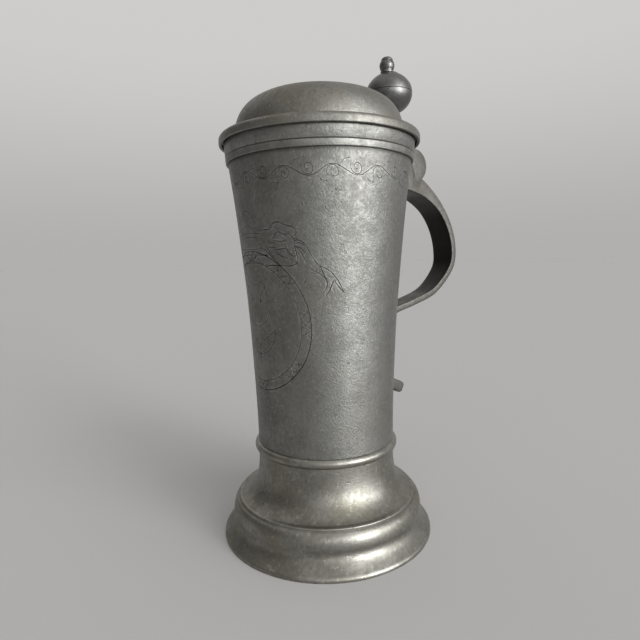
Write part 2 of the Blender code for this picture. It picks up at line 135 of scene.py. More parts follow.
def throughPoints(points, steps):
    # a smooth curve through given points
    line = []
    last = len(points) - 1
    for index in range(last):
        near = [points[min(max(index + shift, 0), last)] for shift in (-1, 0, 1, 2)]
        before, start, end, after = (Vector(point) for point in near)
        for step in range(steps):
            t = step / steps
            line.append(0.5 * (2 * start + (end - before) * t
                               + (2 * before - 5 * start + 4 * end - after) * t * t
                               + (3 * start - before - 3 * end + after) * t ** 3))
    line.append(Vector(points[-1]))
    return line


# Modelling steps that several pieces share
mergeReach = 0.0005


def deselectAll():
    bpy.ops.object.select_all(action="DESELECT")


def pickOnly(piece):
    deselectAll()
    bpy.context.view_layer.objects.active = piece
    piece.select_set(True)


def nameNew(name):
    # name what an operator has just added
    piece = bpy.context.object
    piece.name = name
    piece.data.name = name
    return piece


def startPoint(name, place):
    # a plane merged to one point, left in edit mode
    deselectAll()
    bpy.ops.mesh.primitive_plane_add(size=mm)
    piece = nameNew(name)
    bpy.ops.object.mode_set(mode="EDIT")
    bpy.ops.mesh.select_all(action="SELECT")
    bpy.ops.mesh.merge(type="CENTER")
    bpy.ops.transform.translate(value=Vector(place) * mm)
    return piece


def drawLine(places):
    # extrude the chosen point from place to place
    for before, after in zip(places, places[1:]):
        step = (Vector(after) - Vector(before)) * mm
        bpy.ops.mesh.extrude_vertices_move(TRANSFORM_OT_translate={"value": step})


def mergeAll():
    bpy.ops.mesh.select_all(action="SELECT")
    bpy.ops.mesh.remove_doubles(threshold=mergeReach * mm)


def closeSeams():
    mergeAll()
    bpy.ops.mesh.normals_make_consistent(inside=False)
    bpy.ops.object.mode_set(mode="OBJECT")


def bevelEdges(piece, isChosen, reach, segments):
    # round the edges that a test chooses, and stay in edit mode
    bpy.ops.object.mode_set(mode="EDIT")
    bpy.ops.mesh.select_mode(type="EDGE")
    bpy.ops.mesh.select_all(action="DESELECT")
    shape = bmesh.from_edit_mesh(piece.data)
    for edge in shape.edges:
        edge.select = isChosen(edge)
    bmesh.update_edit_mesh(piece.data)
    bpy.ops.mesh.bevel(offset=reach * mm, segments=segments, profile=0.5)
    bpy.ops.mesh.select_mode(type="VERT")


def turnPiece(name, outline, centreR, turns):
    # spin an outline of (radius, height) round an upright axis
    places = [(axisX + centreR + r, 0.0, z) for r, z in outline]
    if outline[0][0] > 0.0 or outline[-1][0] > 0.0:
        places.append(places[0])
    piece = startPoint(name, places[0])
    drawLine(places)
    bpy.ops.mesh.select_all(action="SELECT")
    bpy.ops.mesh.spin(steps=turns, angle=2 * math.pi, axis=(0, 0, 1),
                      center=((axisX + centreR) * mm, 0, 0))
    closeSeams()
    return piece


def combine(piece, other, operation):
    # add another shape to a piece, or cut it away
    pickOnly(piece)
    name = "join_" + other.name
    modifier = piece.modifiers.new(name, "BOOLEAN")
    modifier.operation = operation
    modifier.object = other
    modifier.solver = "MANIFOLD"
    bpy.ops.object.modifier_apply(modifier=name)
    bpy.data.objects.remove(other)


def wandered(place, form):
    return place + noise.noise_vector(place / (form["wanderSpacing"] * mm)) * form["wander"] * mm


def handFinish(piece, form):
    # turned metal is never quite true: a slow wander of every point, kept inside the frame's box
    low, high = cadBox
    for vert in piece.data.vertices:
        place = wandered(vert.co, form)
        vert.co = [min(max(place[i], low[i]), high[i]) for i in range(3)]


edgeForm = {"fullTurn": 55.0, "smoothTo": 32.0}


def markEdges(piece):
    # attribute "wear" is 1 on sharp outer edges, "dirtAndShade" is 1 in sharp inner corners; the handle later
    # adds painted shade to it on its inner face
    shape = bmesh.new()
    shape.from_mesh(piece.data)
    wear = shape.verts.layers.float.new("wear")
    dirtAndShade = shape.verts.layers.float.new("dirtAndShade")
    for edge in shape.edges:
        if len(edge.link_faces) != 2:
            continue
        turn = edge.calc_face_angle_signed(0.0) / math.radians(edgeForm["fullTurn"])
        for vert in edge.verts:
            vert[wear] = min(max(vert[wear], turn), 1.0)
            vert[dirtAndShade] = min(max(vert[dirtAndShade], -turn), 1.0)
    shape.to_mesh(piece.data)
    shape.free()


def finishPiece(piece, node, body, material):
    markEdges(piece)
    piece.data.materials.clear()
    piece.data.materials.append(material)
    pickOnly(piece)
    bpy.ops.object.shade_smooth_by_angle(angle=math.radians(edgeForm["smoothTo"]))
    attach(piece, body)
    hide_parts(node)
    print("%s: %d faces" % (piece.name, len(piece.data.polygons)))


# Shader helpers
nodeGrid = {"columns": 6, "wide": 220.0, "tall": 260.0}


def feed(tree, socket, value):
    # link a socket to another, or give it a plain value
    if isinstance(value, bpy.types.NodeSocket):
        tree.links.new(value, socket)
    else:
        socket.default_value = value


def addNode(tree, kind, settings=None, feeds=None):
    # nodes stand in rows, in the order they are made
    row, column = divmod(len(tree.nodes), nodeGrid["columns"])
    node = tree.nodes.new(kind)
    node.location = (column * nodeGrid["wide"], -row * nodeGrid["tall"])
    for key, value in (settings or {}).items():
        setattr(node, key, value)
    for key, value in (feeds or {}).items():
        feed(tree, node.inputs[key], value)
    return node


def newGroup(name, inputs, outputs):
    # a number makes a value socket, a tuple makes a colour socket
    tree = bpy.data.node_groups.new(name, "ShaderNodeTree")
    for way, sockets in (("INPUT", inputs), ("OUTPUT", outputs)):
        for label, value in sockets.items():
            kind = "NodeSocketColor" if isinstance(value, tuple) else "NodeSocketFloat"
            socket = tree.interface.new_socket(label, in_out=way, socket_type=kind)
            socket.default_value = value
    start = addNode(tree, "NodeGroupInput")
    end = addNode(tree, "NodeGroupOutput")
    return tree, start.outputs, end.inputs


def objectSpot(tree):
    return addNode(tree, "ShaderNodeTexCoord").outputs["Object"]


def noiseOf(tree, vector, scale, detail, roughness):
    feeds = {"Vector": vector, "Scale": scale, "Detail": detail, "Roughness": roughness}
    return addNode(tree, "ShaderNodeTexNoise", None, feeds).outputs["Fac"]


def between(tree, value, low, high):
    # 0 below low, 1 above high, smooth between; low may be the larger one
    feeds = {"Value": value, "From Min": low, "From Max": high}
    return addNode(tree, "ShaderNodeMapRange", {"interpolation_type": "SMOOTHSTEP"}, feeds).outputs["Result"]


def sums(tree, operation, first, second):
    return addNode(tree, "ShaderNodeMath", {"operation": operation}, {0: first, 1: second}).outputs[0]


def mixColour(tree, share, first, second):
    # sockets 0, 6 and 7 are the share and the two colours
    feeds = {0: share, 6: first, 7: second}
    return addNode(tree, "ShaderNodeMix", {"data_type": "RGBA"}, feeds).outputs[2]


# Cloudy oxide: pale and dark clouds of two sizes, and brown-green stain
oxideForm = {"cloudNoise": (6.0, 0.62), "grainScale": 620.0, "grainNoise": (4.0, 0.6), "broadScale": 34.0,
             "broadNoise": (3.0, 0.5), "grainShare": 0.8, "cloudEdges": (0.66, 1.14),
             "stainEdges": (0.46, 0.70)}


def makeOxide():
    form = oxideForm
    tree, start, end = newGroup("oxideClouds", {
        "Pale": (0.4, 0.4, 0.38, 1.0), "Dark": (0.2, 0.2, 0.19, 1.0), "Stain": (0.3, 0.27, 0.2, 1.0),
        "Stain Amount": 0.5, "Cloud Scale": 110.0}, {"Colour": (0.0, 0.0, 0.0, 1.0), "Cloud": 0.0})
    spot = objectSpot(tree)
    cloud = noiseOf(tree, spot, start["Cloud Scale"], *form["cloudNoise"])
    grain = noiseOf(tree, spot, form["grainScale"], *form["grainNoise"])
    broad = noiseOf(tree, spot, form["broadScale"], *form["broadNoise"])
    fine = sums(tree, "MULTIPLY", grain, form["grainShare"])
    share = between(tree, sums(tree, "ADD", cloud, fine), *form["cloudEdges"])
    stain = between(tree, broad, *form["stainEdges"])
    stain = sums(tree, "MULTIPLY", stain, start["Stain Amount"])
    colour = mixColour(tree, share, start["Dark"], start["Pale"])
    feed(tree, end["Colour"], mixColour(tree, stain, colour, start["Stain"]))
    feed(tree, end["Cloud"], share)
    return tree


# Small corroded pits, bright specks painted as glints, and a fine peened grain
pitForm = {"pitNoise": (2.0, 0.5), "patchScale": 90.0, "patchNoise": (3.0, 0.6), "glintSpeckNoise": (1.0, 0.5),
           "grainScale": 1300.0, "grainNoise": (3.0, 0.6), "pitEdges": (0.36, 0.27),
           "patchEdges": (0.46, 0.62), "glintSpeckEdges": (0.63, 0.74)}


def makePits():
    form = pitForm
    tree, start, end = newGroup("pitsAndGlintSpecks", {"Pit Scale": 700.0, "Glint Speck Scale": 950.0},
                                {"Pits": 0.0, "Glint Specks": 0.0, "Grain": 0.0})
    spot = objectSpot(tree)
    pits = noiseOf(tree, spot, start["Pit Scale"], *form["pitNoise"])
    patch = noiseOf(tree, spot, form["patchScale"], *form["patchNoise"])
    glintSpecks = noiseOf(tree, spot, start["Glint Speck Scale"], *form["glintSpeckNoise"])
    grain = noiseOf(tree, spot, form["grainScale"], *form["grainNoise"])
    deep = between(tree, pits, *form["pitEdges"])
    where = between(tree, patch, *form["patchEdges"])
    feed(tree, end["Pits"], sums(tree, "MULTIPLY", deep, where))
    feed(tree, end["Glint Specks"], between(tree, glintSpecks, *form["glintSpeckEdges"]))
    feed(tree, end["Grain"], grain)
    return tree


# Rings left by the lathe and thin scratches; a scratch has its turn in radians and its stretch
markForm = {"ringScale": 900.0, "ringWander": 14.0, "ringNoise": (2.0, 0.5), "scratchNoise": (1.0, 0.4),
            "scratchEdges": (0.70, 0.76),
            "scratches": (((0.5, 0.3, 0.9), (30.0, 900.0, 30.0)), ((1.1, 0.8, 0.2), (900.0, 24.0, 40.0)))}


def makeToolMarks():
    form = markForm
    tree, start, end = newGroup("toolMarks",
                                {"Ring Scale": form["ringScale"], "Ring Wander": form["ringWander"]},
                                {"Rings": 0.0, "Scratches": 0.0})
    spot = objectSpot(tree)
    parts = addNode(tree, "ShaderNodeSeparateXYZ", None, {0: spot}).outputs
    scales = {"X": "Ring Wander", "Y": "Ring Wander", "Z": "Ring Scale"}
    ways = {way: sums(tree, "MULTIPLY", parts[way], start[label]) for way, label in scales.items()}
    along = addNode(tree, "ShaderNodeCombineXYZ", None, ways).outputs[0]
    feed(tree, end["Rings"], noiseOf(tree, along, 1.0, *form["ringNoise"]))
    lines = []
    for turn, stretch in form["scratches"]:
        feeds = {"Vector": spot, "Rotation": turn, "Scale": stretch}
        turned = addNode(tree, "ShaderNodeMapping", None, feeds).outputs[0]
        thread = noiseOf(tree, turned, 1.0, *form["scratchNoise"])
        lines.append(between(tree, thread, *form["scratchEdges"]))
    feed(tree, end["Scratches"], sums(tree, "MAXIMUM", *lines))
    return tree


# Rubbed outer edges, and grime in inner corners plus painted shade on the handle's inner face, from the
# piece's own attributes
wearForm = {"patchScale": 160.0, "patchNoise": (4.0, 0.6), "patchEdges": (0.32, 0.62)}


def makeEdgeWearAndShade():
    form = wearForm
    tree, start, end = newGroup("edgeWearAndShade", {"Wear Amount": 1.0, "Grime And Shade Amount": 1.0},
                                {"Rubbed": 0.0, "Grime And Shade": 0.0})
    patchy = noiseOf(tree, objectSpot(tree), form["patchScale"], *form["patchNoise"])
    patchy = between(tree, patchy, *form["patchEdges"])
    wear = addNode(tree, "ShaderNodeAttribute", {"attribute_name": "wear"}).outputs["Fac"]
    dirtAndShade = addNode(tree, "ShaderNodeAttribute", {"attribute_name": "dirtAndShade"}).outputs["Fac"]
    rubbed = sums(tree, "MULTIPLY", wear, patchy)
    feed(tree, end["Rubbed"], sums(tree, "MULTIPLY", rubbed, start["Wear Amount"]))
    feed(tree, end["Grime And Shade"], sums(tree, "MULTIPLY", dirtAndShade, start["Grime And Shade Amount"]))
    return tree


groups = {"clouds": makeOxide(), "pits": makePits(), "marks": makeToolMarks(), "edges": makeEdgeWearAndShade()}
print("shader groups made")

# Pewter finishes, each with what differs from plain pewter
plainPewter = {"stainAmount": 0.4, "glintSpeckScale": 950.0, "rings": 0.0, "wear": 0.5}
pewterLooks = {
    "bodyPewter": {
        "pale": (0.226, 0.227, 0.216), "dark": (0.158, 0.158, 0.148), "stain": (0.168, 0.158, 0.128),
        "stainAmount": 0.3, "cloudScale": 95.0, "rough": (0.46, 0.56), "grain": 0.13, "grimeAndShade": 0.85},
    "footPewter": {
        "pale": (0.276, 0.273, 0.249), "dark": (0.176, 0.172, 0.15), "stain": (0.172, 0.155, 0.107),
        "stainAmount": 0.55, "cloudScale": 85.0, "rough": (0.36, 0.45), "grain": 0.07, "grimeAndShade": 0.5,
        "wear": 0.8, "glintSpeckScale": 560.0},
    "lidPewter": {
        "pale": (0.226, 0.225, 0.209), "dark": (0.160, 0.158, 0.144), "stain": (0.185, 0.172, 0.128),
        "stainAmount": 0.5, "cloudScale": 80.0, "rough": (0.44, 0.54), "grain": 0.12, "grimeAndShade": 0.7,
        "rings": 0.01},
    # its full grime amount also darkens the strap's inner face, a painted shade
    "handlePewter": {
        "pale": (0.115, 0.114, 0.105), "dark": (0.082, 0.081, 0.075), "stain": (0.084, 0.078, 0.062),
        "cloudScale": 100.0, "rough": (0.46, 0.56), "grain": 0.06, "grimeAndShade": 1.0, "wear": 0.35},
    "darkPewter": {
        "pale": (0.165, 0.165, 0.163), "dark": (0.122, 0.122, 0.12), "stain": (0.13, 0.124, 0.108),
        "stainAmount": 0.3, "cloudScale": 120.0, "rough": (0.34, 0.42), "grain": 0.04, "grimeAndShade": 0.5,
        "rings": 0.01, "wear": 0.3},
    "innerPewter": {
        "pale": (0.2, 0.196, 0.178), "dark": (0.12, 0.118, 0.105), "stain": (0.15, 0.128, 0.09),
        "stainAmount": 0.7, "cloudScale": 70.0, "rough": (0.46, 0.58), "grain": 0.08, "grimeAndShade": 0.8,
        "rings": 0.03},
    "pinIron": {
        "pale": (0.115, 0.113, 0.105), "dark": (0.084, 0.083, 0.077), "stain": (0.084, 0.078, 0.064),
        "cloudScale": 200.0, "rough": (0.38, 0.5), "grain": 0.05, "grimeAndShade": 0.6, "wear": 0.35},
}
# how far each mark shows, and how its shade and shine follow from the dark and pale colours
pewterShares = {"pits": 0.5, "glintSpecks": 0.32, "scratches": 0.12, "pitDepth": 0.06, "shade": 0.35,
                "shine": 1.75, "shineMost": 0.8}


def placeGroup(tree, key, feeds):
    return addNode(tree, "ShaderNodeGroup", {"node_tree": groups[key]}, feeds).outputs


def makePewter(name, look):
    look = {**plainPewter, **look}
    shares = pewterShares
    material = bpy.data.materials.new(name)
    material.use_nodes = True
    tree = material.node_tree
    shader = tree.nodes["Principled BSDF"].inputs
    clouds = placeGroup(tree, "clouds", {
        "Pale": (*look["pale"], 1.0), "Dark": (*look["dark"], 1.0), "Stain": (*look["stain"], 1.0),
        "Stain Amount": look["stainAmount"], "Cloud Scale": look["cloudScale"]})
    pits = placeGroup(tree, "pits", {"Glint Speck Scale": look["glintSpeckScale"]})
    marks = placeGroup(tree, "marks", {})
    edges = placeGroup(tree, "edges", {"Wear Amount": look["wear"], "Grime And Shade Amount": look["grimeAndShade"]})
    shade = (*(value * shares["shade"] for value in look["dark"]), 1.0)
    shine = (*(min(value * shares["shine"], shares["shineMost"]) for value in look["pale"]), 1.0)
    # bright specks are painted glints; grime darkens inner corners and paints shade on the handle's inner face
    layers = ((sums(tree, "MULTIPLY", pits["Pits"], shares["pits"]), shade),
              (sums(tree, "MULTIPLY", pits["Glint Specks"], shares["glintSpecks"]), shine),
              (sums(tree, "MULTIPLY", marks["Scratches"], shares["scratches"]), shine),
              (edges["Rubbed"], shine), (edges["Grime And Shade"], shade))
    colour = clouds["Colour"]
    for share, over in layers:
        colour = mixColour(tree, share, colour, over)
    smooth, dull = look["rough"]
    feeds = {"Value": clouds["Cloud"], "To Min": dull, "To Max": smooth}
    rough = addNode(tree, "ShaderNodeMapRange", None, feeds).outputs["Result"]
    height = sums(tree, "MULTIPLY", pits["Grain"], look["grain"])
    height = sums(tree, "SUBTRACT", height, sums(tree, "MULTIPLY", pits["Pits"], shares["pitDepth"]))
    height = sums(tree, "ADD", height, sums(tree, "MULTIPLY", marks["Rings"], look["rings"]))
    bump = addNode(tree, "ShaderNodeBump", None, {"Strength": 1.0, "Distance": mm, "Height": height})
    feed(tree, shader["Metallic"], 1.0)
    feed(tree, shader["Base Color"], colour)
    feed(tree, shader["Roughness"], rough)
    feed(tree, shader["Normal"], bump.outputs["Normal"])
    return material


finish = {name: makePewter(name, look) for name, look in pewterLooks.items()}
print("pewter finishes made: %d" % len(finish))


# Drum: a bowed wall under a stepped collar with one turned groove
drumForm = {"footRadius": 31.0, "topRadius": 39.7, "wall": 2.0, "bow": 0.88, "collarHeight": 8.8,
            "collarStep": 0.9, "collarRound": 0.4, "grooveDown": 6.0, "grooveHalf": 0.34, "grooveDepth": 0.22,
            "rimRound": 0.7, "rows": 84, "insideSkip": 4, "turns": 192, "wander": 0.16, "wanderSpacing": 27.0}
collarZ = rimZ - drumForm["collarHeight"]
collarRadius = drumForm["topRadius"] + drumForm["collarStep"]


def drumRadius(z):
    share = (z - seamZ) / (collarZ - seamZ)
    flare = (1.0 - drumForm["bow"]) * share + drumForm["bow"] * share * share
    return drumForm["footRadius"] + (drumForm["topRadius"] - drumForm["footRadius"]) * flare


def drumOutline():
    form = drumForm
    heights = [drumLow.z + (collarZ - drumLow.z) * row / form["rows"] for row in range(form["rows"] + 1)]
    outside = [(drumRadius(z), z) for z in heights]
    grooveZ = rimZ - form["grooveDown"]
    side = (rimRadius - collarRadius) / form["collarHeight"]
    grooveR = collarRadius + side * (grooveZ - collarZ)
    groove = [(grooveR, grooveZ - form["grooveHalf"]), (grooveR - form["grooveDepth"], grooveZ),
              (grooveR, grooveZ + form["grooveHalf"])]
    step = softCorner(outside[-1], (collarRadius, collarZ), groove[0], form["collarRound"])
    mouth = rimRadius - form["wall"]
    lip = softCorner(groove[-1], (rimRadius, rimZ), (mouth, rimZ), form["rimRound"])
    lip += softCorner((rimRadius, rimZ), (mouth, rimZ), (mouth, collarZ), form["rimRound"])
    inside = [(drumRadius(z) - form["wall"], z) for z in heights[::-form["insideSkip"]]]
    return outside + step + groove + lip + inside


drum = turnPiece("steinDrum", drumOutline(), 0.0, drumForm["turns"])
handFinish(drum, drumForm)
print("drum turned")


# Engraving on the drum, opposite the handle: a tulip in an oval ring under a ribbon bow, and a tendril border
engravingForm = {"lineWidth": 0.5, "hatchWidth": 0.32, "sink": 0.04, "step": 0.8, "curveSteps": 12,
                 "endWidth": 0.55, "endGrowth": 0.15}
ringForm = {"z": 98.5, "outer": (27.0, 29.0), "inner": (23.0, 25.0), "arc": (90.0, 450.0, 180),
            "hatchGroups": 8, "hatchLines": 3, "hatchGap": 0.17, "hatchLean": 7.0, "hatchShare": 0.8}
hangerForm = {"z": 139.0, "radii": (4.5, 4.5), "arc": (-30.0, 210.0, 36)}
borderForm = {"z": 156.5, "waves": 13, "swing": 2.0, "gap": 22.0, "steps": 240, "curlIn": 0.9,
              "curlStart": -200.0, "curlTurn": 470.0, "curlSize": 3.0, "curlShrink": 2.3, "curlWide": 0.9,
              "curlSteps": 30, "leaf": ((3.4, 3.2), (4.8, 4.6), (6.6, 4.9)), "leafSteps": 5}

# drawn as pulled curves of (along the wall, height): start, two pulls and end, for the right half only
bowCurves = (
    ((9, 135.5), (11, 136), (13, 135), (14.5, 136.5)),
    ((14.5, 136.5), (15.5, 138.5), (18, 139), (20, 137.5)),
    ((20, 137.5), (22, 136.5), (24.5, 137), (25, 134.5)),
    ((25, 134.5), (25, 133), (23.5, 132.5), (25, 131.5)), ((24, 131), (23, 128), (25, 125), (24, 122.5)),
    ((24, 122.5), (22, 121), (20, 121.5), (18, 121.5)), ((18, 121.5), (15, 121.5), (12, 122.5), (9, 121)),
    ((14, 132), (16, 133), (16.5, 135), (18, 134.5)), ((18, 134.5), (19.5, 134), (20, 133), (21, 133.5)),
    ((15, 131.5), (17, 131), (18.5, 130.5), (20, 131.5)),
    ((21.5, 134), (22.5, 133.5), (23, 132.5), (24, 132)),
    ((12, 131), (13, 130), (14, 130.5), (15.5, 130.5)),
    ((12, 129), (13.5, 128.5), (14.5, 129), (15.5, 128.5)),
    ((15, 128), (16.5, 127.5), (18, 128.5), (20, 128)), ((15, 127.5), (16, 126), (18, 125), (20, 124.5)),
    ((20, 131), (20, 128.5), (20.5, 125.5), (23.5, 125)), ((10, 131), (11, 129), (12, 127), (14, 125)),
    ((8, 129), (11, 127.5), (13, 125), (17, 121.5)))
tailCurves = (
    ((24, 131), (29, 133), (29, 123), (33, 121)), ((33, 121), (37, 120), (39, 116), (41, 111)),
    ((24, 129), (28, 126), (26, 121), (31, 119)), ((31, 119), (35, 117), (36, 114), (33, 111)),
    ((34, 110), (37, 113), (37, 117), (38, 115)), ((38, 115), (39, 113), (40, 112), (41, 111)),
    ((33, 121), (33, 119), (34, 118), (35, 115)), ((24.5, 130), (25.5, 130.5), (26.5, 130), (27.5, 129.5)),
    ((24.5, 128.5), (26, 129), (27, 127), (28, 126)))
tulipCurves = (
    ((0, 97), (9, 97), (10, 106), (7, 113)), ((7, 113), (4, 111), (3, 108), (3, 105)),
    ((3, 105), (4, 109), (2, 112), (0, 114)), ((0, 85), (6, 85), (10, 90), (11, 96)),
    ((11, 96), (7, 93), (3, 91), (0, 88)), ((0, 97), (0.5, 93), (0.5, 89), (0, 82)))
# folds across the knot: height, half length, lift of the middle
knotFolds = ((134, 10, 1.0), (132.5, 8, 0.8), (128.5, 8, -0.3), (125.5, 11, 0.9), (122.5, 8, 0.5))


def mirrored(points):
    return [(-along, z) for along, z in points]


def evenly(points, step):
    # the same line with points about one step apart
    length = sum((Vector(b) - Vector(a)).length for a, b in zip(points, points[1:]))
    count = max(int(length / step), 2)
    spaced = [Vector(points[0])]
    target = length / count
    walked = 0.0
    for a, b in zip(points, points[1:]):
        a, b = Vector(a), Vector(b)
        run = (b - a).length
        while run > 0 and walked + run >= target * len(spaced) - 1e-6 and len(spaced) <= count:
            spaced.append(a + (b - a) * (target * len(spaced) - walked) / run)
        walked += run
    return spaced


def ringStrokes():
    # two ovals with groups of crossed hatching between them
    form = ringForm
    thin = engravingForm["hatchWidth"]
    centre = (0.0, form["z"])
    outer, inner = form["outer"], form["inner"]
    strokes = [(arcLine(centre, outer, *form["arc"]), engravingForm["lineWidth"]),
               (arcLine(centre, inner, *form["arc"]), thin)]
    middle = (form["hatchLines"] - 1) / 2
    for group in range(form["hatchGroups"]):
        for line in range(form["hatchLines"]):
            turn = 360.0 / form["hatchGroups"] * (group + form["hatchGap"] * (line - middle))
            for lean in (-form["hatchLean"], form["hatchLean"]):
                start = Vector(arcLine(centre, inner, turn - lean / 2, turn, 1)[0])
                end = Vector(arcLine(centre, outer, turn + lean / 2, turn, 1)[0])
                spare = (end - start) * (1.0 - form["hatchShare"]) / 2
                strokes.append(([tuple(start + spare), tuple(end - spare)], thin))
    return strokes


def bowStrokes():
    steps = engravingForm["curveSteps"]
    thick, thin = engravingForm["lineWidth"], engravingForm["hatchWidth"]
    strokes = [(arcLine((0.0, hangerForm["z"]), hangerForm["radii"], *hangerForm["arc"]), thin)]
    for z, half, lift in knotFolds:
        fold = pulledLine((-half, z), (-half / 3, z + lift), (half / 3, z + lift), (half, z), 2 * steps)
        strokes.append((fold, thin))
    for curves, width in ((bowCurves + tailCurves, thick), (tulipCurves, thin)):
        for curve in curves:
            line = pulledLine(*curve, steps)
            strokes += [(line, width), (mirrored(line), width)]
    return strokes


def borderStrokes():
    # a running tendril with a curl in every bend, open at the handle
    form = borderForm
    thin = engravingForm["hatchWidth"]
    around = 2 * math.pi * drumRadius(form["z"])
    wave = around / form["waves"]
    half = around / 2 - form["gap"]
    stem = []
    for step in range(form["steps"] + 1):
        along = -half + 2 * half * step / form["steps"]
        stem.append((along, form["z"] + form["swing"] * math.sin(2 * math.pi * along / wave)))
    strokes = [(stem, thin)]
    for bend in range(-2 * form["waves"], 2 * form["waves"]):
        middle = (bend + 0.5) * wave / 2
        if abs(middle) > half - wave / 4:
            continue
        side = 1.0 if bend % 2 == 0 else -1.0
        level = form["z"] - side * form["curlIn"]
        curl = []
        for step in range(form["curlSteps"] + 1):
            turn = math.radians(form["curlStart"] + form["curlTurn"] * step / form["curlSteps"])
            size = form["curlSize"] - form["curlShrink"] * step / form["curlSteps"]
            along = middle + size * math.cos(turn) * form["curlWide"]
            curl.append((along, level - side * size * math.sin(turn)))
        leaf = [(middle + along, level + side * up) for along, up in form["leaf"]]
        strokes += [(curl, thin), (throughPoints(leaf, form["leafSteps"]), thin)]
    return strokes


def onWall(along, z, lift):
    r = drumRadius(z)
    angle = math.pi + along / r
    place = wandered(Vector((axisX + r * math.cos(angle), r * math.sin(angle), z)) * mm, drumForm)
    return place + Vector((math.cos(angle), math.sin(angle), 0.0)) * lift * mm


def burinCutter(strokes):
    # every stroke is a thin bar that lies in the wall and runs out at its ends
    form = engravingForm
    data = bpy.data.curves.new("burinLines", "CURVE")
    data.dimensions = "3D"
    data.bevel_depth = mm / 2
    data.bevel_resolution = 1
    data.use_fill_caps = True
    for points, width in strokes:
        line = evenly(points, form["step"])
        spline = data.splines.new("POLY")
        spline.points.add(len(line) - 1)
        for index, (along, z) in enumerate(line):
            ends = min(index, len(line) - 1 - index)
            share = min(form["endWidth"] + form["endGrowth"] * ends, 1.0)
            place = onWall(along, z, form["sink"])
            spline.points[index].co = (*place, 1.0)
            spline.points[index].radius = width * share
    cutter = bpy.data.objects.new("burinLines", data)
    bpy.context.collection.objects.link(cutter)
    pickOnly(cutter)
    bpy.ops.object.convert(target="MESH")
    bpy.ops.object.mode_set(mode="EDIT")
    closeSeams()
    return bpy.context.object


cutter = burinCutter(ringStrokes() + bowStrokes() + borderStrokes())
print("engraving lines: %d faces" % len(cutter.data.polygons))
combine(drum, cutter, "DIFFERENCE")
print("drum engraved: %d faces" % len(drum.data.polygons))


# Shallow corroded pits, half of them below the border; a patch is along the wall, height and spread both ways
scarForm = {"seed": 11, "count": 30, "radius": (0.3, 0.6), "lift": (0.7, 0.85),
            "patches": ((42.0, 149.3, 5.0, 2.0), (41.0, 143.6, 9.0, 2.0), (62.0, 84.0, 4.0, 5.0),
                        (10.0, 60.0, 30.0, 12.0))}


def pitCutter():
    form = scarForm
    draw = random.Random(form["seed"])
    pits = []
    for index in range(form["count"]):
        along, z, wide, tall = form["patches"][index % len(form["patches"])]
        radius = draw.uniform(*form["radius"])
        along += draw.gauss(0, wide / 2)
        z += draw.gauss(0, tall / 2)
        place = onWall(along, z, radius * draw.uniform(*form["lift"]))
        deselectAll()
        bpy.ops.mesh.primitive_ico_sphere_add(subdivisions=2, radius=radius * mm, location=place)
        pits.append(bpy.context.object)
    for pit in pits:
        pit.select_set(True)
    bpy.ops.object.join()
    joined = nameNew("pits")
    bpy.ops.object.transform_apply(location=True, rotation=True, scale=True)
    return joined


combine(drum, pitCutter(), "DIFFERENCE")
finishPiece(drum, "drum", "stein", finish["bodyPewter"])
drum.data.materials.append(finish["innerPewter"])
for face in drum.data.polygons:
    outward = Vector((face.center.x - axisX * mm, face.center.y, 0.0))
    inside = outward.length < (drumRadius(face.center.z / mm) - drumForm["wall"] / 2) * mm
    if inside or face.center.z / mm > collarZ and face.normal.dot(outward) < 0:
        face.material_index = 1


# Foot: flared rim, torus, sharp arris and cove, hollow below
footForm = {"neckDrop": 4.3, "wall": 2.4, "lip": 2.0, "lipSlope": (0.5, 0.4), "edgeRound": 1.0,
            "restRound": 0.3, "restWidth": 2.8, "bearing": 2.3, "ledgeRound": 0.4, "neckRows": (0.8, 1.6, 2.4),
            "torusInset": 4.6, "torusZ": 11.2, "torusArc": (76.0, -8.0, 22), "quirk": 0.5, "tuck": 0.7,
            "tuckDrop": 3.4, "bead": 0.45, "beadArc": (72.0, -10.0, 6), "arrisInset": 3.0, "arrisZ": 17.6,
            "coveNeck": 0.60, "coveRun": 0.72, "coveRise": 0.13, "rimRun": 2.7, "rimRise": 2.5,
            "coveSteps": 30, "flareSteps": 24, "insideSteps": 12, "hollowSteps": 14, "turns": 192,
            "wander": 0.12, "wanderSpacing": 30.0}


